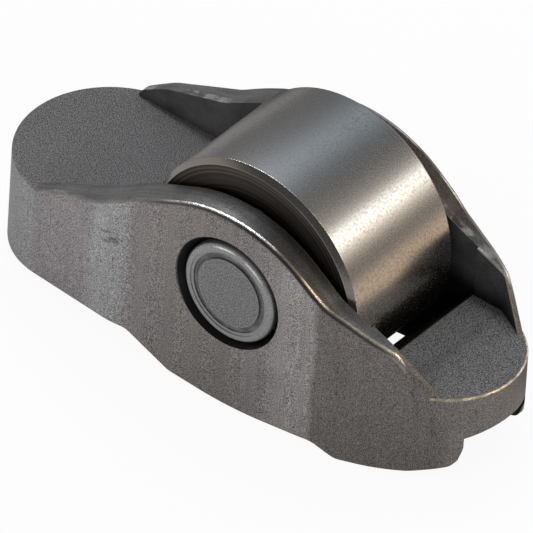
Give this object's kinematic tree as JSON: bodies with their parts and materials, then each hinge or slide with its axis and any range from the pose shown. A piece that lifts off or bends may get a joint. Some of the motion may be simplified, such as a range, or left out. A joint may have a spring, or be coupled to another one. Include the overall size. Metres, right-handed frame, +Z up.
{
  "type": "roller rocker arm",
  "caption": "Cast steel roller finger follower: ball socket under its heel, needle bearing cam roller on a staked axle, rounded valve pad between guide ears at its nose.",
  "frame": {"origin": "centre of the pivot ball in the heel's socket", "axes": "+X from the pivot to the valve end, +Z up towards the cam, Y across, along the roller's axis"},
  "size_m": [0.0443, 0.0176, 0.02],
  "materials": {
    "cast_steel": "as cast and blasted, dull grey",
    "ground_steel": "fine ground bearing steel",
    "axle_steel": "turned, dull end faces",
    "needle_steel": "polished"
  },
  "bodies": {
    "arm": {"rocker_body": "cast_steel", "axle": "axle_steel"},
    "roller": {"roller_ring": "ground_steel"},
    "needles": {"needle_01": "needle_steel", "needle_02": "needle_steel", "needle_03": "needle_steel", "needle_04": "needle_steel", "needle_05": "needle_steel", "needle_06": "needle_steel", "needle_07": "needle_steel", "needle_08": "needle_steel", "needle_09": "needle_steel", "needle_10": "needle_steel", "needle_11": "needle_steel", "needle_12": "needle_steel", "needle_13": "needle_steel", "needle_14": "needle_steel", "needle_15": "needle_steel", "needle_16": "needle_steel", "needle_17": "needle_steel"}
  },
  "joints": [
    {"name": "roller_spin", "type": "hinge", "parent": "arm", "child": "roller", "pos_m": [0.0174, 0, 0.0082], "axis": [0, 1, 0], "continuous": true},
    {"name": "needle_orbit", "type": "hinge", "parent": "arm", "child": "needles", "pos_m": [0.0174, 0, 0.0082], "axis": [0, 1, 0], "continuous": true}
  ],
  "couplings": [
    {"joint": "needle_orbit", "follows": "roller_spin", "ratio": 0.5916}
  ]
}
